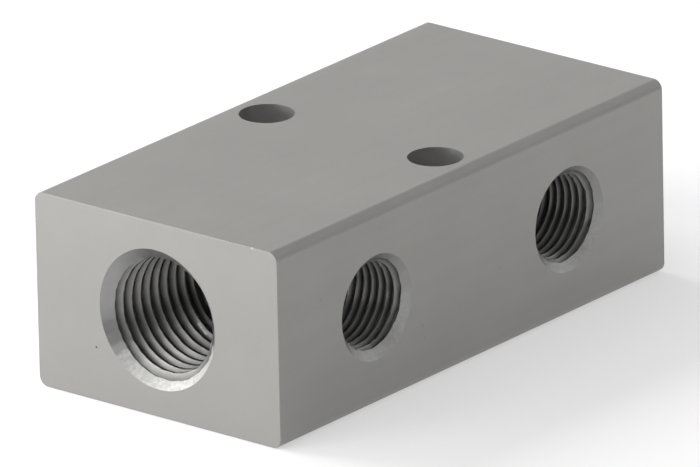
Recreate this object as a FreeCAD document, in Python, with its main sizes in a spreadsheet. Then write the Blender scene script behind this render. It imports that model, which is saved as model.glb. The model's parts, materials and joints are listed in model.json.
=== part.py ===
import FreeCAD, Part
import Sketcher
import os

# Air manifold block: a length of extruded aluminium bar with one gallery drilled along it.
# A large tapped port opens each end of the gallery and two small tapped ports enter it from the front.
# X runs along the bar, Y across it with the small ports at the front in -Y, Z up from the base.
# Sizes are millimetres and degrees. Tapped ports are modelled at their tapping drill.

SIZES = {
    # The bar
    "block_length": 60.0,
    "block_width": 30.0,
    "block_height": 20.0,
    "edge_radius": 1.0,
    # The gallery that joins the ports
    "gallery_diameter": 10.0,
    # The port at each end, tapped pipe thread G1/4
    "end_drill_diameter": 11.8,
    "end_drill_depth": 15.0,
    "end_sink_diameter": 14.3,
    # The two front ports, tapped pipe thread G1/8
    "side_drill_diameter": 8.8,
    "side_sink_diameter": 10.7,
    "side_port_spacing": 30.0,
    # The tools that cut the ports
    "sink_angle": 90.0,
    "drill_point_angle": 118.0,
    # The holes for the two mounting screws, either side of the gallery
    "mounting_hole_diameter": 5.5,
    "mounting_hole_spacing": 21.0,
}

doc = FreeCAD.newDocument("manifold")
sheet = doc.addObject("Spreadsheet::Sheet", "sizes")
for row, (alias, value) in enumerate(SIZES.items(), start=1):
    sheet.set(f"A{row}", alias)
    sheet.set(f"B{row}", str(value))
    sheet.setAlias(f"B{row}", alias)
doc.recompute()


def origin_plane(body, role):
    """The body's own origin plane with this role."""
    return next(item for item in body.Origin.OriginFeatures if item.Role == role)


def new_sketch(body, name, role):
    """A sketch lying on one of the body's origin planes."""
    sketch = body.newObject("Sketcher::SketchObject", name)
    sketch.AttachmentSupport = [(origin_plane(body, role), "")]
    sketch.MapMode = "FlatFace"
    return sketch


def bind(sketch, name, formula, constraint):
    """Adds a named dimension to the sketch and ties it to the sheet."""
    index = sketch.addConstraint(constraint)
    sketch.renameConstraint(index, name)
    sketch.setExpression(f"Constraints.{name}", formula)


def check_cut(feature, before):
    """Rebuilds the document and makes sure that the feature took material away."""
    doc.recompute()
    if not feature.Shape.Volume < before.Shape.Volume:
        raise ValueError(f"{feature.Name} removes nothing")
    return feature


def bar(body):
    """The bar: a rectangle standing on the base plane, padded both ways along X, long edges rounded."""
    length, width, height = sheet.block_length, sheet.block_width, sheet.block_height
    sketch = new_sketch(body, "bar_section", "YZ_Plane")
    corners = [(-width / 2, 0), (width / 2, 0), (width / 2, height), (-width / 2, height)]
    points = [FreeCAD.Vector(y, z, 0) for y, z in corners]
    for start, end in zip(points, points[1:] + points[:1]):
        sketch.addGeometry(Part.LineSegment(start, end), False)
    for line in range(4):
        sketch.addConstraint(Sketcher.Constraint("Coincident", line, 2, (line + 1) % 4, 1))
    for line in (0, 2):
        sketch.addConstraint(Sketcher.Constraint("Horizontal", line))
    for line in (1, 3):
        sketch.addConstraint(Sketcher.Constraint("Vertical", line))
    sketch.addConstraint(Sketcher.Constraint("Symmetric", 0, 1, 0, 2, -1, 1))
    bind(sketch, "width", "sizes.block_width", Sketcher.Constraint("DistanceX", 0, 1, 0, 2, width))
    bind(sketch, "height", "sizes.block_height", Sketcher.Constraint("DistanceY", 1, 1, 1, 2, height))

    pad = body.newObject("PartDesign::Pad", "bar")
    pad.Profile = sketch
    pad.SideType = "Symmetric"
    pad.Length = length
    pad.setExpression("Length", "sizes.block_length")
    doc.recompute()

    long_edges = [
        f"Edge{number}"
        for number, edge in enumerate(pad.Shape.Edges, start=1)
        if abs(edge.tangentAt(edge.FirstParameter).x) > 0.99
    ]
    rounding = body.newObject("PartDesign::Fillet", "rounded_long_edges")
    rounding.Base = (pad, long_edges)
    rounding.setExpression("Radius", "sizes.edge_radius")
    return check_cut(rounding, pad)


def gallery(body, before):
    """The plain drilling from end to end, on the bar's centre line."""
    sketch = new_sketch(body, "gallery_section", "YZ_Plane")
    centre = FreeCAD.Vector(0, sheet.block_height / 2, 0)
    radius = sheet.gallery_diameter / 2
    sketch.addGeometry(Part.Circle(centre, FreeCAD.Vector(0, 0, 1), radius), False)
    sketch.addConstraint(Sketcher.Constraint("PointOnObject", 0, 3, -2))
    bind(sketch, "axis_height", "sizes.block_height / 2", Sketcher.Constraint("DistanceY", -1, 1, 0, 3, centre.y))
    bind(sketch, "diameter", "sizes.gallery_diameter", Sketcher.Constraint("Diameter", 0, 2 * radius))

    pocket = body.newObject("PartDesign::Pocket", "gallery")
    pocket.Profile = sketch
    pocket.SideType = "Symmetric"
    pocket.Type = "ThroughAll"
    return check_cut(pocket, before)


def port(body, name, before, place, turn, drill, sink, reach):
    """A drilled port: half its section is drawn on the bar's mid-height plane and turned about its axis.

    The section starts at the middle of the port's mouth. It is the mouth's countersink, the drilled
    wall down to its reach, and the drill's point. Turn is the angle from +X to the way the drill goes.
    """
    sketch = new_sketch(body, f"{name}_section", "XY_Plane")
    turned = FreeCAD.Rotation(FreeCAD.Vector(0, 0, 1), turn)
    sketch.AttachmentOffset = FreeCAD.Placement(FreeCAD.Vector(0, 0, 0), turned)
    for axis, formula in zip("xyz", place + ["sizes.block_height / 2"]):
        sketch.setExpression(f"AttachmentOffset.Base.{axis}", formula)

    formulas = {
        "mouth_radius": f"{sink} / 2",
        "wall_radius": f"{drill} / 2",
        "sink_depth": f"({sink} - {drill}) / 2 / tan(sizes.sink_angle / 2)",
        "wall_reach": reach,
        "point_length": f"{drill} / 2 / tan(sizes.drill_point_angle / 2)",
    }
    size = {key: float(sketch.evalExpression(formula)) for key, formula in formulas.items()}
    outline = [
        (0, 0),
        (0, size["mouth_radius"]),
        (size["sink_depth"], size["wall_radius"]),
        (size["wall_reach"], size["wall_radius"]),
        (size["wall_reach"] + size["point_length"], 0),
    ]
    points = [FreeCAD.Vector(along, out, 0) for along, out in outline]
    for start, end in zip(points, points[1:] + points[:1]):
        sketch.addGeometry(Part.LineSegment(start, end), False)
    mouth, countersink, wall, drill_point, axis_line = range(5)
    for line in range(5):
        sketch.addConstraint(Sketcher.Constraint("Coincident", line, 2, (line + 1) % 5, 1))
    sketch.addConstraint(Sketcher.Constraint("Coincident", mouth, 1, -1, 1))
    sketch.addConstraint(Sketcher.Constraint("Vertical", mouth))
    sketch.addConstraint(Sketcher.Constraint("Horizontal", wall))
    sketch.addConstraint(Sketcher.Constraint("Horizontal", axis_line))
    dimensions = {
        "mouth_radius": ("DistanceY", mouth, 1, mouth, 2),
        "wall_radius": ("DistanceY", mouth, 1, wall, 1),
        "sink_depth": ("DistanceX", mouth, 1, wall, 1),
        "wall_reach": ("DistanceX", mouth, 1, wall, 2),
        "point_length": ("DistanceX", drill_point, 1, drill_point, 2),
    }
    for key, geometry in dimensions.items():
        bind(sketch, key, formulas[key], Sketcher.Constraint(*geometry, size[key]))

    groove = body.newObject("PartDesign::Groove", name)
    groove.Profile = sketch
    groove.ReferenceAxis = (sketch, ["H_Axis"])
    groove.Angle = 360
    return check_cut(groove, before)


def mirror_ports(body, ports, before):
    """The same ports again in the other half of the bar's length."""
    mirrored = body.newObject("PartDesign::Mirrored", "ports_in_other_half")
    mirrored.Originals = ports
    mirrored.MirrorPlane = (origin_plane(body, "YZ_Plane"), [""])
    body.Tip = mirrored
    return check_cut(mirrored, before)


def mounting_holes(body, before):
    """Two plain holes for screws, straight down through the middle of the bar's length."""
    sketch = new_sketch(body, "mounting_hole_plan", "XY_Plane")
    out = sheet.mounting_hole_spacing / 2
    diameter = sheet.mounting_hole_diameter
    for y in (-out, out):
        sketch.addGeometry(Part.Circle(FreeCAD.Vector(0, y, 0), FreeCAD.Vector(0, 0, 1), diameter / 2), False)
    sketch.addConstraint(Sketcher.Constraint("PointOnObject", 0, 3, -2))
    sketch.addConstraint(Sketcher.Constraint("Symmetric", 0, 3, 1, 3, -1, 1))
    sketch.addConstraint(Sketcher.Constraint("Equal", 0, 1))
    bind(sketch, "diameter", "sizes.mounting_hole_diameter", Sketcher.Constraint("Diameter", 0, diameter))
    bind(sketch, "spacing", "sizes.mounting_hole_spacing", Sketcher.Constraint("DistanceY", 0, 3, 1, 3, 2 * out))

    pocket = body.newObject("PartDesign::Pocket", "mounting_holes")
    pocket.Profile = sketch
    pocket.Type = "ThroughAll"
    pocket.Reversed = True
    body.Tip = pocket
    return check_cut(pocket, before)


block = doc.addObject("PartDesign::Body", "manifold_block")
block.Label = "manifold_block"
block.Placement = FreeCAD.Placement()

solid_bar = bar(block)
drilled_bar = gallery(block, solid_bar)
end_port = port(
    block, "end_port", drilled_bar,
    place=["-sizes.block_length / 2", "0"],
    turn=0,
    drill="sizes.end_drill_diameter",
    sink="sizes.end_sink_diameter",
    reach="sizes.end_drill_depth",
)
side_port = port(
    block, "side_port", end_port,
    place=["-sizes.side_port_spacing / 2", "-sizes.block_width / 2"],
    turn=90,
    drill="sizes.side_drill_diameter",
    sink="sizes.side_sink_diameter",
    reach="sizes.block_width / 2",
)
all_ports = mirror_ports(block, [end_port, side_port], side_port)
mounting_holes(block, all_ports)

for item in doc.Objects:
    if "Invalid" in item.State or "Error" in item.State:
        raise ValueError(f"{item.Name} did not rebuild")
if block.Shape.isNull() or not block.Shape.isValid() or len(block.Shape.Solids) != 1:
    raise ValueError("the block is not one valid solid")

os.makedirs("parts", exist_ok=True)
block.Shape.exportStep(f"parts/{block.Label}.step")
box = block.Shape.BoundBox
print(f"{block.Label}: {box.XLength:.2f} x {box.YLength:.2f} x {box.ZLength:.2f} mm, "
      f"{block.Shape.Volume:.1f} mm3, {len(block.Shape.Faces)} faces")
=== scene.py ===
import bpy
import bmesh
import json
from math import cos, pi, radians, sin, tan
from mathutils import Matrix, Quaternion, Vector, noise


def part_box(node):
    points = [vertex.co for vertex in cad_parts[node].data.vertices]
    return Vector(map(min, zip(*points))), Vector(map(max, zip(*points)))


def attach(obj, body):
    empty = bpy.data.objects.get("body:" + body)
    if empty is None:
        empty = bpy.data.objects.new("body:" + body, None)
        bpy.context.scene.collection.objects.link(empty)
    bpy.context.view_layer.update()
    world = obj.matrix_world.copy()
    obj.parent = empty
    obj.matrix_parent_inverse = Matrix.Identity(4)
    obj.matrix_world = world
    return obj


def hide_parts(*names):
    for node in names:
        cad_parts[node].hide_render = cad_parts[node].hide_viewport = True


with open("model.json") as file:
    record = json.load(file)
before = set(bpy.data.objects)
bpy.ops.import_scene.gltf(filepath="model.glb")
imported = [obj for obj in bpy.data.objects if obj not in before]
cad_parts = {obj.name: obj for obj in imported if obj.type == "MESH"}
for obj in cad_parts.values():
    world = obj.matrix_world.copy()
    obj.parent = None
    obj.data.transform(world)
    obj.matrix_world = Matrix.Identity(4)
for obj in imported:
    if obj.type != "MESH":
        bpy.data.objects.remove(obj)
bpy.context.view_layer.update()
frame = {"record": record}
mounts = {mount["name"]: mount for mount in frame["record"]["mounts"]}
blockLow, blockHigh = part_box("manifold_block")
blockSize = blockHigh - blockLow
blockMiddle = (blockLow + blockHigh) / 2
mm = 0.001
samePlace = 1e-7  # metres within which two points are taken as one
print("frame loaded")

scene = bpy.context.scene

# Camera, at the photograph's viewing angle. It stands far off with a long lens.
cameraSetup = {
    "azimuth": -50.816,  # degrees, 0 looks along +Y
    "elevation": 20.34,
    "roll": -1.2,
    "distance": 1.5751,  # metres from the point it looks at
    "lookAt": (-0.225 * mm, 0.176 * mm, 9.829 * mm),
    "lens": 832.7,
    "sensorWidth": 36.0,
    "clipFrom": 0.05,
    "clipTo": 50.0,
}


def makeCamera(setup):
    azimuth = radians(setup["azimuth"])
    elevation = radians(setup["elevation"])
    back = Vector((sin(azimuth) * cos(elevation), -cos(azimuth) * cos(elevation), sin(elevation)))
    data = bpy.data.cameras.new("camera")
    data.lens = setup["lens"]
    data.sensor_width = setup["sensorWidth"]
    data.clip_start = setup["clipFrom"]
    data.clip_end = setup["clipTo"]
    camera = bpy.data.objects.new("camera", data)
    scene.collection.objects.link(camera)
    camera.rotation_mode = "QUATERNION"
    camera.location = Vector(setup["lookAt"]) + back * setup["distance"]
    level = (-back).to_track_quat("-Z", "Y")
    camera.rotation_quaternion = level @ Quaternion((0, 0, 1), radians(setup["roll"]))
    scene.camera = camera


makeCamera(cameraSetup)
print("camera placed")


# Mesh helpers

def newObject(name, bm, materials):
    mesh = bpy.data.meshes.new(name)
    bm.to_mesh(mesh)
    bm.free()
    for material in materials:
        mesh.materials.append(material)
    obj = bpy.data.objects.new(name, mesh)
    scene.collection.objects.link(obj)
    return obj


def turnProfile(points, segments):
    # A closed turned shape about the local Z axis, from (radius, height) points that start and end on it.
    # It starts half a step round, so that no corner of it lies in the plane of another tool's corner.
    bm = bmesh.new()
    verts = [bm.verts.new((radius * mm, 0, height * mm)) for radius, height in points]
    edges = [bm.edges.new(pair) for pair in zip(verts, verts[1:])]
    bmesh.ops.spin(
        bm, geom=verts + edges, cent=(0, 0, 0), axis=(0, 0, 1), dvec=(0, 0, 0),
        angle=2 * pi, steps=segments, use_merge=True, use_duplicate=False,
    )
    bmesh.ops.remove_doubles(bm, verts=bm.verts, dist=samePlace)
    bmesh.ops.recalc_face_normals(bm, faces=bm.faces)
    bm.transform(Matrix.Rotation(pi / segments, 4, "Z"))
    return bm


# Node helpers

def addNode(tree, kind, **settings):
    node = tree.nodes.new("ShaderNode" + kind)
    for name, value in settings.items():
        setattr(node, name, value)
    return node


def feed(tree, socket, value):
    # A socket takes another node's output or a plain value
    if isinstance(value, bpy.types.NodeSocket):
        tree.links.new(value, socket)
    else:
        socket.default_value = value


def calc(tree, operation, *values):
    node = addNode(tree, "Math", operation=operation)
    for socket, value in zip(node.inputs, values):
        feed(tree, socket, value)
    return node.outputs[0]


def mapped(tree, value, low, high, newLow, newHigh):
    node = addNode(tree, "MapRange", interpolation_type="SMOOTHSTEP")
    for socket, part in zip(node.inputs, (value, low, high, newLow, newHigh)):
        feed(tree, socket, part)
    return node.outputs["Result"]


def noiseValue(tree, vector, scale, detail):
    node = addNode(tree, "TexNoise")
    feed(tree, node.inputs["Vector"], vector)
    feed(tree, node.inputs["Scale"], scale)
    node.inputs["Detail"].default_value = detail
    return node.outputs[0]


def splitVector(tree, vector):
    node = addNode(tree, "SeparateXYZ")
    feed(tree, node.inputs[0], vector)
    return node.outputs


def stretched(tree, vector, scale):
    node = addNode(tree, "Mapping")
    feed(tree, node.inputs["Vector"], vector)
    node.inputs["Scale"].default_value = scale
    return node.outputs["Vector"]


def newGroup(name, inputs, outputs):
    tree = bpy.data.node_groups.new(name, "ShaderNodeTree")
    for label, kind, value in inputs:
        socket = tree.interface.new_socket(label, in_out="INPUT", socket_type="NodeSocket" + kind)
        if value is not None:
            socket.default_value = value
    for label in outputs:
        tree.interface.new_socket(label, in_out="OUTPUT", socket_type="NodeSocketFloat")
    return tree, tree.nodes.new("NodeGroupInput").outputs, tree.nodes.new("NodeGroupOutput").inputs


def useGroup(tree, group, **values):
    node = addNode(tree, "Group", node_tree=group)
    for name, value in values.items():
        feed(tree, node.inputs[name], value)
    return node.outputs


# Effects that more than one material uses

def makeMottle():
    # Uneven tone: a factor about 1, from soft noise
    tree, given, result = newGroup("mottle", [
        ("Vector", "Vector", None), ("Scale", "Float", 100.0), ("Amount", "Float", 0.05),
    ], ["Tone"])
    cloud = noiseValue(tree, given["Vector"], given["Scale"], 3)
    centred = calc(tree, "SUBTRACT", cloud, 0.5)
    feed(tree, result["Tone"], calc(tree, "MULTIPLY_ADD", centred, given["Amount"], 1.0))
    return tree


def makeSpot(fullShare):
    # The tone of one small mark: full out to a share of its radius, and 1 beyond the radius
    tree, given, result = newGroup("spot", [
        ("Vector", "Vector", None), ("Centre", "Vector", None),
        ("Radius", "Float", 0.0002), ("Shade", "Float", 1.0),
    ], ["Tone"])
    away = addNode(tree, "VectorMath", operation="DISTANCE")
    feed(tree, away.inputs[0], given["Vector"])
    feed(tree, away.inputs[1], given["Centre"])
    full = calc(tree, "MULTIPLY", given["Radius"], fullShare)
    tone = mapped(tree, away.outputs["Value"], full, given["Radius"], given["Shade"], 1.0)
    feed(tree, result["Tone"], tone)
    return tree


def makeToolMarks(ringAround, chatterDown):
    # What a turning tool leaves: fine rings round the hole, and chatter across them.
    # The vector is (cosine, sine, depth in mm) about the hole's own axis.
    tree, given, result = newGroup("toolMarks", [
        ("Around", "Vector", None), ("Rings", "Float", 6.0), ("Chatter", "Float", 20.0),
    ], ["Ring Height", "Chatter Height"])
    parts = splitVector(tree, given["Around"])
    kinds = (("Ring", ringAround, given["Rings"]), ("Chatter", given["Chatter"], chatterDown))
    for name, roundScale, deepScale in kinds:
        joined = addNode(tree, "CombineXYZ")
        feed(tree, joined.inputs[0], calc(tree, "MULTIPLY", parts[0], roundScale))
        feed(tree, joined.inputs[1], calc(tree, "MULTIPLY", parts[1], roundScale))
        feed(tree, joined.inputs[2], calc(tree, "MULTIPLY", parts[2], deepScale))
        feed(tree, result[name + " Height"], noiseValue(tree, joined.outputs[0], 1, 2))
    return tree


def makeRoughHighlightPatch():
    # A sector of a hole's wall with a ragged edge, and the specks in it. Middle is the way to the
    # sector's middle, and From and To are the cosines between which its edge fades.
    tree, given, result = newGroup("roughHighlightPatch", [
        ("Around", "Vector", None), ("Place", "Vector", None), ("Middle", "Vector", None),
        ("Ragged", "Float", 1.0), ("From", "Float", 0.5), ("To", "Float", 0.55),
        ("Scale", "Float", 2600.0),
    ], ["Patch", "Specks"])
    toward = addNode(tree, "VectorMath", operation="DOT_PRODUCT")
    feed(tree, toward.inputs[0], given["Around"])
    feed(tree, toward.inputs[1], given["Middle"])
    near = calc(tree, "MULTIPLY", toward.outputs["Value"], given["Ragged"])
    feed(tree, result["Patch"], mapped(tree, near, given["From"], given["To"], 0.0, 1.0))
    feed(tree, result["Specks"], noiseValue(tree, given["Place"], given["Scale"], 6))
    return tree


mottle = makeMottle()
spot = makeSpot(fullShare=0.4)
toolMarks = makeToolMarks(ringAround=1.5, chatterDown=1.2)
roughHighlightPatch = makeRoughHighlightPatch()


def startMaterial(name, finish):
    material = bpy.data.materials.new(name)
    material.use_nodes = True
    tree = material.node_tree
    shader = tree.nodes["Principled BSDF"]
    shader.inputs["Metallic"].default_value = 1
    place = addNode(tree, "TexCoord").outputs["Object"]
    tone = useGroup(
        tree, mottle, Vector=place, Scale=finish["mottleScale"], Amount=finish["mottleAmount"],
    )["Tone"]
    for centre, radius, shade in finish.get("marks", ()):
        mark = useGroup(
            tree, spot, Vector=place, Centre=Vector(centre) * mm, Radius=radius * mm, Shade=shade,
        )["Tone"]
        tone = calc(tree, "MULTIPLY", tone, mark)
    return material, tree, shader, place, tone


def finishMaterial(tree, shader, finish, tone, roughness, height):
    tinted = addNode(tree, "VectorMath", operation="SCALE")
    tinted.inputs[0].default_value = finish["colour"]
    feed(tree, tinted.inputs["Scale"], tone)
    feed(tree, shader.inputs["Base Color"], tinted.outputs[0])
    feed(tree, shader.inputs["Roughness"], roughness)
    bump = addNode(tree, "Bump")
    bump.inputs["Strength"].default_value = 1
    bump.inputs["Distance"].default_value = finish["bumpDepth"] * mm
    feed(tree, bump.inputs["Height"], height)
    feed(tree, shader.inputs["Normal"], bump.outputs[0])


# The bar's outer faces: extruded, sawn, then tumbled to a satin
satinFinish = {
    "colour": (0.37, 0.366, 0.353),
    "roughness": 0.6,
    "roughnessSpread": 0.1,
    "mottleScale": 130.0,
    "mottleAmount": 0.1,
    "streakAmount": 0.07,  # along the bar, from the extrusion
    "streakScale": (12, 700, 700),
    "grainScale": 5000.0,
    "bumpDepth": 0.004,  # mm
    "edgeHighlightWidth": 0.25,  # mm of painted highlight along the cut ends
    "edgeHighlightGain": 0.06,
    "marks": [  # scuffs, the painted shade of a pit and the painted highlight of a nick: place in mm, radius in mm, tone
        # painted shade: a small pit on the end face, dark
        ((-30.0, 7.7, 5.5), 0.16, 0.25),
        # painted highlight: a bright nick on the end face's top edge
        ((-30.0, -12.0, 19.95), 0.22, 1.5),
        ((-8.0, -15.0, 6.0), 0.3, 0.93),
        ((-7.7, -15.0, 4.7), 0.25, 0.94),
        ((-23.5, -15.0, 13.3), 0.35, 0.94),
        ((4.0, -15.0, 8.3), 0.3, 0.94),
    ],
}


def makeSatinFace(finish):
    material, tree, shader, place, tone = startMaterial("satinFace", finish)
    streaks = noiseValue(tree, stretched(tree, place, finish["streakScale"]), 1, 3)
    facing = splitVector(tree, addNode(tree, "NewGeometry").outputs["Normal"])
    onLongFace = calc(tree, "SUBTRACT", 1.0, calc(tree, "ABSOLUTE", facing[0]))
    streakTone = calc(tree, "MULTIPLY", calc(tree, "SUBTRACT", streaks, 0.5), onLongFace)
    tone = calc(tree, "MULTIPLY_ADD", streakTone, finish["streakAmount"], tone)
    # Painted highlight: the long faces are lighter close to the cut ends' edges.
    fromMiddle = calc(tree, "ABSOLUTE", splitVector(tree, place)[0])
    cutPlane = blockHigh.x
    edge = mapped(tree, fromMiddle, cutPlane - finish["edgeHighlightWidth"] * mm, cutPlane, 0.0, finish["edgeHighlightGain"])
    tone = calc(tree, "MULTIPLY_ADD", edge, onLongFace, tone)
    grain = noiseValue(tree, place, finish["grainScale"], 2)
    uneven = calc(tree, "SUBTRACT", grain, 0.5)
    roughness = calc(tree, "MULTIPLY_ADD", uneven, finish["roughnessSpread"], finish["roughness"])
    finishMaterial(tree, shader, finish, tone, roughness, grain)
    return material


# The drilled, countersunk and tapped surfaces: bare cut metal with the tools' marks
countersunkFinish = {
    "colour": (0.31, 0.309, 0.302),
    "roughness": 0.45,
    "roughnessSpread": 0.25,
    "mottleScale": 600.0,
    "mottleAmount": 0.15,
    "rings": 7.0,  # to the millimetre of depth
    "chatter": 26.0,  # to a travel of one radius round the hole
    "ringShare": 0.5,  # of the height, the rest is chatter
    "bumpDepth": 0.02,  # mm
    "roughHighlightPatch": {  # where the countersink chattered, at the low side of every port, which faces up: rougher, with bumpy specks that carry a painted highlight
        "middle": 285.0,  # degrees round the port, from its right
        "halfWidth": 62.0,
        "edgeSoftness": 0.035,  # as a cosine, each way
        "edgeScale": 1500.0,
        "raggedness": 0.3,
        "speckScale": 2600.0,
        "speckSpread": (0.3, 0.7),  # the part of the noise that the tones spread over
        # painted highlight: how much lighter the specks make the upward-facing low side
        "speckHighlight": (1.42, 1.8),
        "speckBump": 0.08,
        "roughness": 0.2,  # added to the countersink's own
    },
}
# The small ports' countersinks are smoother, and their rough side, with its painted highlight, fades out
sideSunkFinish = {**countersunkFinish, "roughHighlightPatch": {
    **countersunkFinish["roughHighlightPatch"],
    "halfWidth": 66.0,
    "edgeSoftness": 0.28,
    "speckHighlight": (1.6, 1.8),
}}
tappedFinish = {
    "colour": (0.242, 0.24, 0.23),
    "rootShade": 0.55,  # how much darker the painted shade in a groove's root is
    "rootShadeFull": 0.9,  # how far down the groove it is full, of the groove's depth
    "marks": [  # painted highlights: a bright streak on a deep turn of the left end port
        ((-19.06, 3.87, 5.32), 0.24, 2.0),
        ((-19.1, 3.62, 5.07), 0.2, 2.2),
        ((-19.12, 3.38, 4.87), 0.17, 1.8),
        ((-19.15, 3.15, 4.68), 0.2, 2.1),
        ((-19.16, 2.93, 4.55), 0.17, 1.8),
    ],
    "roughness": 0.42,
    "roughnessSpread": 0.25,
    "mottleScale": 900.0,
    "mottleAmount": 0.25,
    "rings": 9.0,
    "chatter": 16.0,
    "ringShare": 0.7,
    "bumpDepth": 0.015,
}
drilledFinish = {
    "colour": (0.46, 0.457, 0.444),
    "roughness": 0.5,
    "roughnessSpread": 0.25,
    "mottleScale": 500.0,
    "mottleAmount": 0.15,
    "rings": 5.0,
    "chatter": 6.0,
    "ringShare": 0.9,
    "bumpDepth": 0.02,
}


def addRoughHighlightPatch(tree, patch, around, place, tone, roughness, height):
    middle = radians(patch["middle"])
    edge = cos(radians(patch["halfWidth"]))
    ragged = useGroup(tree, mottle, Vector=place, Scale=patch["edgeScale"], Amount=patch["raggedness"])
    rough = useGroup(
        tree, roughHighlightPatch, Around=around, Place=place, Middle=(cos(middle), sin(middle), 0),
        Ragged=ragged["Tone"], Scale=patch["speckScale"],
        From=edge - patch["edgeSoftness"], To=edge + patch["edgeSoftness"],
    )
    low, high = patch["speckHighlight"]
    # Painted highlight: the specks lighten the tone in the patch; the patch also roughens and bumps the
    # surface.
    speckHighlight = mapped(tree, rough["Specks"], *patch["speckSpread"], low - 1, high - 1)
    tone = calc(tree, "MULTIPLY", tone, calc(tree, "MULTIPLY_ADD", speckHighlight, rough["Patch"], 1.0))
    roughness = calc(tree, "MULTIPLY_ADD", rough["Patch"], patch["roughness"], roughness)
    speckHeight = calc(tree, "MULTIPLY", rough["Specks"], rough["Patch"])
    height = calc(tree, "MULTIPLY_ADD", speckHeight, patch["speckBump"], height)
    return tone, roughness, height


def makeCutFace(name, finish):
    material, tree, shader, place, tone = startMaterial(name, finish)
    around = addNode(tree, "Attribute", attribute_name="aroundTool").outputs["Vector"]
    marks = useGroup(tree, toolMarks, Around=around, Rings=finish["rings"], Chatter=finish["chatter"])
    # Painted shade: the tone darkens towards each groove's root.
    if "rootShade" in finish:
        inGroove = addNode(tree, "Attribute", attribute_name="inGroove").outputs["Fac"]
        paintedRootShade = mapped(tree, inGroove, 0.0, finish["rootShadeFull"], 1.0, 1 - finish["rootShade"])
        tone = calc(tree, "MULTIPLY", tone, paintedRootShade)
    rings = calc(tree, "MULTIPLY", marks["Ring Height"], finish["ringShare"])
    height = calc(tree, "MULTIPLY_ADD", marks["Chatter Height"], 1 - finish["ringShare"], rings)
    uneven = calc(tree, "SUBTRACT", height, 0.5)
    roughness = calc(tree, "MULTIPLY_ADD", uneven, finish["roughnessSpread"], finish["roughness"])
    if "roughHighlightPatch" in finish:
        tone, roughness, height = addRoughHighlightPatch(
            tree, finish["roughHighlightPatch"], around, place, tone, roughness, height,
        )
    finishMaterial(tree, shader, finish, tone, roughness, height)
    return material


satinFace = makeSatinFace(satinFinish)
countersunkFace = makeCutFace("countersunkFace", countersunkFinish)
sideSunkFace = makeCutFace("sideSunkFace", sideSunkFinish)
tappedFace = makeCutFace("tappedFace", tappedFinish)
drilledFace = makeCutFace("drilledFace", drilledFinish)
print("materials made")

# The bar, before it is drilled
barShape = {
    "longEdgeRadius": 1.0,
    "longEdgeSteps": 12,
    "cutEdgeBreak": 0.07,  # what the tumbling took off the sawn ends' sharp edges
    "cutEdgeSteps": 2,
}


def makeBar(shape):
    bm = bmesh.new()
    place = Matrix.Translation(blockMiddle) @ Matrix.Diagonal((*blockSize, 1))
    bmesh.ops.create_cube(bm, size=1, matrix=place)
    longEdges = [
        edge for edge in bm.edges
        if abs(edge.verts[0].co.x - edge.verts[1].co.x) > blockSize.x / 2
    ]
    bmesh.ops.bevel(
        bm, geom=longEdges, offset=shape["longEdgeRadius"] * mm, offset_type="OFFSET",
        segments=shape["longEdgeSteps"], profile=0.5, affect="EDGES", material=-1,
    )
    endEdges = [
        edge for edge in bm.edges
        if abs(edge.verts[0].co.x - edge.verts[1].co.x) < samePlace
    ]
    bmesh.ops.bevel(
        bm, geom=endEdges, offset=shape["cutEdgeBreak"] * mm, offset_type="OFFSET",
        segments=shape["cutEdgeSteps"], profile=0.5, affect="EDGES", material=-1,
    )
    return newObject("manifoldBlock", bm, [satinFace])


# Ports. Sizes are millimetres; a thread's phase is its groove's depth at the right of the port,
# seen from outside. The least radius and the greatest depth of its walls are wallFrom and wallReach.
endPortShape = {
    "sinkDiameter": 14.3,
    "sinkFace": countersunkFace,
    "reach": 15.0,
    "majorDiameter": 13.157,
    "crestDiameter": 11.6,  # the tap leaves its crests a little inside the drill's 11.8
    "pitch": 1.337,
    "threadDepth": 14.4,
    "leadLength": 2.2,  # over which the groove fades at its bottom
    "mouthTear": 0.0,  # how far out the first turn's edge is torn, up the countersink
    "wallFrom": 4.9,
    "wallReach": 30.0,
    "phases": {"end_port_1": 0.723, "end_port_2": 0.2},
}
sidePortShape = {
    "sinkDiameter": 10.7,
    "sinkFace": sideSunkFace,
    "reach": 15.0,
    "majorDiameter": 9.728,
    "crestDiameter": 8.6,
    "pitch": 0.907,
    "threadDepth": 11.0,
    "leadLength": 1.6,
    "mouthTear": 0.03,
    "wallFrom": 4.2,
    "wallReach": 13.5,
    "phases": {"side_port_1": 0.03, "side_port_2": -0.06},
}
galleryShape = {"diameter": 10.0}
portTools = {
    "sinkAngle": 90.0,
    "drillPointAngle": 118.0,
    "clearOfFace": 0.6,  # how far a tool starts outside the face that it cuts
    "segments": 120,
    "threadAngle": 55.0,
    "rootRadiusOfPitch": 0.137329,  # the rounded root's radius, in pitches
    "rootSteps": 4,
    "crestRadiusOfPitch": 0.137329,
    "crestBelowWall": 0.012,  # how far inside the wall the crest's rounding starts
    "crestSteps": 3,
    "crestStop": 14.0,  # degrees short of its top at which the crest's rounding ends
    "insideWall": 0.12,  # how far the thread cutter's back stays inside the drilled wall
    "turnMerge": 1e-6,  # metres within which one turn of the cutter joins the next
    "tearBelow": 0.15,  # how far below the countersink the tear starts, in countersink depths
    "tearOver": 0.4,  # and over how much of that depth it grows to full
}


def portPlace(mount):
    # The matrix from a port's own axes to the block: X right and Y up seen from outside, Z out of the mouth
    out = Vector(mount["axis"])
    up = Vector((0, 0, 1))
    right = up.cross(out)
    corner = Vector([high if part > 0 else low for part, low, high in zip(out, blockLow, blockHigh)])
    position = Vector(mount["pos_m"])
    mouth = position + out * (corner - position).dot(out)
    place = Matrix((right, up, out)).transposed().to_4x4()
    place.translation = mouth
    return place


def sinkDepthOf(shape, tools):
    radius = shape["crestDiameter"] / 2
    return (shape["sinkDiameter"] / 2 - radius) / tan(radians(tools["sinkAngle"] / 2))


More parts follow.
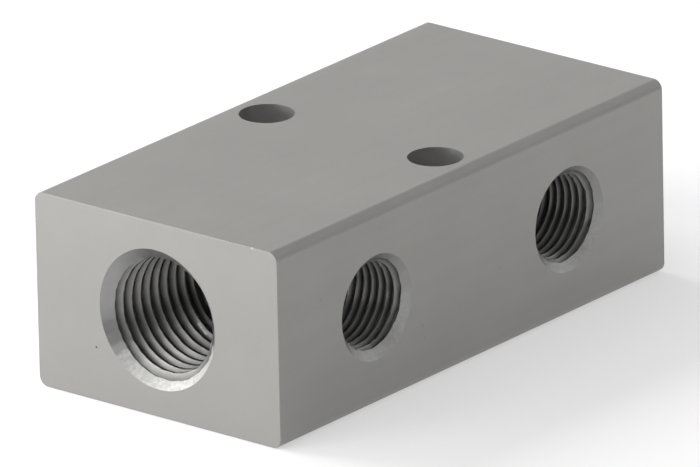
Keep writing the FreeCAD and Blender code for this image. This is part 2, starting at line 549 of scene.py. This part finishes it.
def portDrill(name, shape, tools):
    radius = shape["crestDiameter"] / 2
    slope = tan(radians(tools["sinkAngle"] / 2))
    top = tools["clearOfFace"]
    sinkDepth = sinkDepthOf(shape, tools)
    pointLength = radius / tan(radians(tools["drillPointAngle"] / 2))
    bm = turnProfile([
        (0, top),
        (shape["sinkDiameter"] / 2 + top * slope, top),
        (radius, -sinkDepth),
        (radius, -shape["reach"]),
        (0, -shape["reach"] - pointLength),
    ], tools["segments"])
    for face in bm.faces:
        if face.calc_center_median().z < -sinkDepth * mm:
            face.material_index = 1
    bm.transform(portPlace(mounts[name]))
    return newObject(name + "Drill", bm, [shape["sinkFace"], tappedFace])


def threadSection(shape, tools, wallRadius):
    # The groove's section as (radius, height) points about its middle: a rounded root, two flanks,
    # and the rounding that takes each flank over to the crest beside it
    pitch = shape["pitch"]
    halfAngle = radians(tools["threadAngle"] / 2)
    rootRadius = tools["rootRadiusOfPitch"] * pitch
    rootCentre = shape["majorDiameter"] / 2 - rootRadius
    apex = rootCentre + rootRadius / sin(halfAngle)
    crestRadius = tools["crestRadiusOfPitch"] * pitch
    crestCentre = wallRadius - tools["crestBelowWall"] + crestRadius
    crestOut = (apex - crestCentre) * tan(halfAngle) + crestRadius / cos(halfAngle)
    lastTurn = radians(tools["crestStop"])
    upper = []
    for step in range(tools["rootSteps"] // 2 + 1):
        turn = step / tools["rootSteps"] * (pi - 2 * halfAngle)
        upper.append((rootCentre + rootRadius * cos(turn), rootRadius * sin(turn)))
    for step in range(tools["crestSteps"] + 1):
        turn = pi / 2 - halfAngle + (lastTurn + halfAngle - pi / 2) * step / tools["crestSteps"]
        upper.append((crestCentre - crestRadius * cos(turn), crestOut - crestRadius * sin(turn)))
    upper.append((wallRadius - tools["insideWall"], upper[-1][1]))
    lower = [(radius, -height) for radius, height in reversed(upper[1:])]
    return lower + upper


def tearMouth(bm, shape, tools):
    # The first turn's outer flank is torn a little way up the countersink
    sinkDepth = sinkDepthOf(shape, tools)
    for vert in bm.verts:
        above = (vert.co.z / mm + sinkDepth) / sinkDepth + tools["tearBelow"]
        vert.co.z += shape["mouthTear"] * mm * min(max(above / tools["tearOver"], 0), 1)


def fadeLead(bm, shape, bottom, wallRadius):
    # The tap's lead: towards the bottom the groove fades into the wall
    leadTop = -(bottom - shape["leadLength"]) * mm
    fade = (shape["majorDiameter"] / 2 - wallRadius) / shape["leadLength"]
    for vert in bm.verts:
        below = leadTop - vert.co.z
        if below > 0:
            scale = 1 - below * fade / vert.co.xy.length
            vert.co.x *= scale
            vert.co.y *= scale


def portThread(name, shape, tools):
    # One turn of the groove is spun, then repeated from the thread's bottom out past the mouth
    wallRadius = shape["crestDiameter"] / 2
    pitch = shape["pitch"]
    phase = shape["phases"][name]
    turnsBelow = int((shape["threadDepth"] - phase) / pitch)
    bottom = phase + turnsBelow * pitch
    turns = turnsBelow + 1 + int(phase / pitch + 1)
    bm = bmesh.new()
    section = threadSection(shape, tools, wallRadius)
    verts = [bm.verts.new((radius * mm, 0, (height - bottom) * mm)) for radius, height in section]
    edges = [bm.edges.new(pair) for pair in zip(verts, verts[1:] + verts[:1])]
    bmesh.ops.spin(
        bm, geom=verts + edges, cent=(0, 0, 0), axis=(0, 0, 1),
        dvec=(0, 0, pitch * mm / tools["segments"]), angle=2 * pi, steps=tools["segments"],
    )
    oneTurn = bm.verts[:] + bm.edges[:] + bm.faces[:]
    for turn in range(1, turns):
        copied = bmesh.ops.duplicate(bm, geom=oneTurn)["geom"]
        copiedVerts = [part for part in copied if isinstance(part, bmesh.types.BMVert)]
        bmesh.ops.translate(bm, verts=copiedVerts, vec=(0, 0, turn * pitch * mm))
    bmesh.ops.remove_doubles(bm, verts=bm.verts, dist=tools["turnMerge"])
    bmesh.ops.holes_fill(bm, edges=[edge for edge in bm.edges if edge.is_boundary], sides=0)
    tearMouth(bm, shape, tools)
    fadeLead(bm, shape, bottom, wallRadius)
    bmesh.ops.recalc_face_normals(bm, faces=bm.faces)
    bm.transform(portPlace(mounts[name]))
    return newObject(name + "Thread", bm, [tappedFace])


def plainDrill(name, radius, centre, turn, length, tools):
    half = length / 2
    bm = turnProfile([(0, half), (radius, half), (radius, -half), (0, -half)], tools["segments"])
    bm.transform(Matrix.Translation(centre) @ turn)
    return newObject(name, bm, [drilledFace])


def mountingCentres():
    out = Vector((0, mounts["mounting_holes"]["dims"]["spacing_y_mm"] / 2 * mm, 0))
    return [blockMiddle - out, blockMiddle + out]


def makeTools():
    made = []
    ports = [(name, endPortShape) for name in endPortShape["phases"]]
    ports += [(name, sidePortShape) for name in sidePortShape["phases"]]
    for name, shape in ports:
        made.append(portDrill(name, shape, portTools))
    length = blockSize.x / mm - endPortShape["reach"]
    alongBar = Matrix.Rotation(pi / 2, 4, "Y")
    radius = galleryShape["diameter"] / 2
    made.append(plainDrill("galleryDrill", radius, blockMiddle, alongBar, length, portTools))
    radius = mounts["mounting_holes"]["dims"]["hole_r_mm"]
    height = blockSize.z / mm + 2 * portTools["clearOfFace"]
    upright = Matrix.Identity(4)
    for number, centre in enumerate(mountingCentres(), start=1):
        made.append(plainDrill(f"mountingDrill{number}", radius, centre, upright, height, portTools))
    for name, shape in ports:
        made.append(portThread(name, shape, portTools))
    return made


def cutBlock(block, tools):
    for tool in tools:
        cut = block.modifiers.new(tool.name, "BOOLEAN")
        cut.operation = "DIFFERENCE"
        cut.object = tool
        cut.solver = "MANIFOLD"
        cut.material_mode = "TRANSFER"
    whole = block.evaluated_get(bpy.context.evaluated_depsgraph_get())
    cutMesh = bpy.data.meshes.new_from_object(whole)
    block.modifiers.clear()
    block.data = cutMesh
    for tool in tools:
        bpy.data.objects.remove(tool)


cutWear = {
    "tornDepth": 0.035,  # mm in or out, on the threads
    "tornScale": 1.6,  # to the millimetre
    "mouthTornDepth": 0.09,  # the same round the first turn's ragged edge
    "mouthReach": 2.2,  # mm below the face, down to which that edge goes
    "tornFrom": 0.6,  # mm below the face, where the threads start
    "crestMargin": 0.05,  # mm inside the crests that still count as thread
    "sinkMargin": 0.05,  # mm outside the countersink that still count as the port's
    "drilledMargin": 0.1,  # the same on both sides of a mounting hole's wall
    "seed": Vector((3.1, 7.7, 1.3)),
}
blockShading = {
    "sharpAngle": 32.0,  # degrees past which an edge is sharp
    "faceWeight": 100,
}


def holeAxes(wear):
    # For each hole: the way into its own axes, the least and greatest radius of its walls in mm,
    # how deep they go, and a port's shape
    holes = []
    dims = mounts["mounting_holes"]["dims"]
    radius = dims["hole_r_mm"]
    margin = wear["drilledMargin"]
    for centre in mountingCentres():
        place = Matrix.Translation(centre).inverted()
        holes.append((place, radius - margin, radius + margin, blockSize.z / mm, None))
    for shape in (sidePortShape, endPortShape):
        most = shape["sinkDiameter"] / 2 + wear["sinkMargin"]
        for name in shape["phases"]:
            place = portPlace(mounts[name]).inverted()
            holes.append((place, shape["wallFrom"], most, shape["wallReach"], shape))
    return holes


def wearHoles(block, wear):
    # Stores the way round and the depth of every hole's walls, and tears the threads a little
    mesh = block.data
    mesh.attributes.new("aroundTool", "FLOAT_VECTOR", "POINT")
    mesh.attributes.new("inGroove", "FLOAT", "POINT")
    around = mesh.attributes["aroundTool"].data
    inGroove = mesh.attributes["inGroove"].data
    holes = holeAxes(wear)
    for vert in mesh.vertices:
        for place, least, most, reach, shape in holes:
            local = place @ vert.co / mm
            radius = local.xy.length
            depth = -local.z
            if not (least < radius < most and abs(depth) < reach):
                continue
            around[vert.index].vector = (local.x / radius, local.y / radius, depth)
            crest = shape["crestDiameter"] / 2 if shape else 0
            if shape and depth > wear["tornFrom"] and radius > crest - wear["crestMargin"]:
                inGroove[vert.index].value = (radius - crest) / (shape["majorDiameter"] / 2 - crest)
                amount = wear["mouthTornDepth"] if depth < wear["mouthReach"] else wear["tornDepth"]
                push = noise.noise(vert.co / mm * wear["tornScale"] + wear["seed"]) * amount
                local.xy *= 1 + push / radius
                vert.co = place.inverted() @ (local * mm)
            break


def shadeBlock(block, shading):
    bm = bmesh.new()
    bm.from_mesh(block.data)
    bmesh.ops.remove_doubles(bm, verts=bm.verts, dist=samePlace)
    for face in bm.faces:
        face.smooth = True
    sharpAngle = radians(shading["sharpAngle"])
    for edge in bm.edges:
        edge.smooth = len(edge.link_faces) == 2 and edge.calc_face_angle() < sharpAngle
    bm.to_mesh(block.data)
    bm.free()
    weighted = block.modifiers.new("weightedNormals", "WEIGHTED_NORMAL")
    weighted.keep_sharp = True
    weighted.weight = shading["faceWeight"]


block = makeBar(barShape)
tools = makeTools()
print("tools made")
cutBlock(block, tools)
wearHoles(block, cutWear)
shadeBlock(block, blockShading)
print("block cut:", len(block.data.polygons), "faces")
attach(block, "root")
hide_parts("manifold_block")

# Floor: a pale sheet that adds a little glow of its own where the camera or the metal looks at it
floorSetup = {
    "size": 5.0,  # metres from the middle to each side
    "colour": 0.6,
    "glow": 0.42,
    "farGlow": 1.0,  # past the lamps' light
    "farFrom": (0.5, 0.9),  # metres from the middle, between which the glow grows
    "below": 0.05,  # mm under the base, so that the two never share a plane
}


def makeFloor(setup):
    bm = bmesh.new()
    place = Matrix.Translation((0, 0, blockLow.z - setup["below"] * mm))
    bmesh.ops.create_grid(bm, x_segments=1, y_segments=1, size=setup["size"], matrix=place)
    material = bpy.data.materials.new("floorSheet")
    material.use_nodes = True
    material.cycles.emission_sampling = "NONE"
    tree = material.node_tree
    shader = tree.nodes["Principled BSDF"]
    shader.inputs["Base Color"].default_value = (setup["colour"],) * 3 + (1,)
    shader.inputs["Roughness"].default_value = 1
    shader.inputs["Specular IOR Level"].default_value = 0
    shader.inputs["Emission Color"].default_value = (1, 1, 1, 1)
    ray = addNode(tree, "LightPath").outputs
    seen = calc(tree, "MAXIMUM", ray["Is Camera Ray"], ray["Is Glossy Ray"])
    seen = calc(tree, "MAXIMUM", seen, ray["Is Transmission Ray"])
    out = addNode(tree, "VectorMath", operation="LENGTH")
    feed(tree, out.inputs[0], addNode(tree, "TexCoord").outputs["Object"])
    glow = mapped(tree, out.outputs["Value"], *setup["farFrom"], setup["glow"], setup["farGlow"])
    feed(tree, shader.inputs["Emission Strength"], calc(tree, "MULTIPLY", seen, glow))
    return newObject("floor", bm, [material])


floor = makeFloor(floorSetup)

# Studio light: softboxes round the block. Azimuth is where each stands, in degrees anticlockwise
# from +X, and distance and size are metres.
studioLights = {
    "backHigh": dict(azimuth=95, elevation=36, distance=1.0, size=(0.6, 0.5), radiance=8.05),
    "leftHigh": dict(azimuth=165, elevation=38, distance=1.0, size=(0.6, 0.5), radiance=4.22),
    "leftFrontHigh": dict(azimuth=210, elevation=39, distance=1.0, size=(0.6, 0.5), radiance=1.49),
    "frontHigh": dict(azimuth=285, elevation=39, distance=1.0, size=(0.9, 0.5), radiance=0.35),
    "frontLeftHigh": dict(azimuth=253, elevation=38, distance=1.0, size=(0.5, 0.45), radiance=0.9),
    "rightTop": dict(azimuth=8, elevation=40, distance=1.0, size=(0.5, 0.45), radiance=1.18),
    "rightFrontLow": dict(azimuth=322, elevation=19, distance=1.0, size=(0.5, 0.4), radiance=0.68),
    "nearLeft": dict(azimuth=152, elevation=8, distance=0.3, size=(0.12, 0.1), radiance=4.01),
    "nearLeftHigh": dict(azimuth=138, elevation=32, distance=0.3, size=(0.12, 0.1), radiance=3.85),
    "nearBack": dict(azimuth=112, elevation=10, distance=0.3, size=(0.12, 0.1), radiance=5.38),
    "backRightMid": dict(azimuth=40, elevation=25, distance=1.0, size=(0.5, 0.4), radiance=1.54),
    "backMid": dict(azimuth=65, elevation=22, distance=1.0, size=(0.5, 0.4), radiance=1.07),
    "rightHigh": dict(azimuth=335, elevation=35, distance=1.0, size=(0.6, 0.5), radiance=1.35),
}
worldSetup = {
    "level": 0.01,
    "horizonLevel": 1.0,  # a pale band, so that a level view has a pale background too
    "horizonTop": (0.016, 0.03),  # sines of the elevations between which it fades
}


def makeLamp(name, setup):
    azimuth = radians(setup["azimuth"])
    elevation = radians(setup["elevation"])
    out = Vector((cos(azimuth) * cos(elevation), sin(azimuth) * cos(elevation), sin(elevation)))
    light = bpy.data.lights.new(name, "AREA")
    light.shape = "RECTANGLE"
    light.size, light.size_y = setup["size"]
    light.energy = setup["radiance"] * pi * light.size * light.size_y
    lamp = bpy.data.objects.new(name, light)
    scene.collection.objects.link(lamp)
    lamp.rotation_mode = "QUATERNION"
    lamp.rotation_quaternion = (-out).to_track_quat("-Z", "Y")
    lamp.location = out * setup["distance"] + Vector((0, 0, blockMiddle.z))
    lamp.visible_camera = False


def makeWorld(setup):
    world = bpy.data.worlds.new("studio")
    world.use_nodes = True
    tree = world.node_tree
    background = tree.nodes["Background"]
    background.inputs["Color"].default_value = (1, 1, 1, 1)
    height = splitVector(tree, addNode(tree, "TexCoord").outputs["Generated"])[2]
    level = mapped(tree, height, *setup["horizonTop"], setup["horizonLevel"], setup["level"])
    feed(tree, background.inputs["Strength"], level)
    scene.world = world


for lampName, lampSetup in studioLights.items():
    makeLamp(lampName, lampSetup)
makeWorld(worldSetup)
print("studio lit by", len(studioLights), "softboxes")

scene.view_settings.view_transform = "Standard"
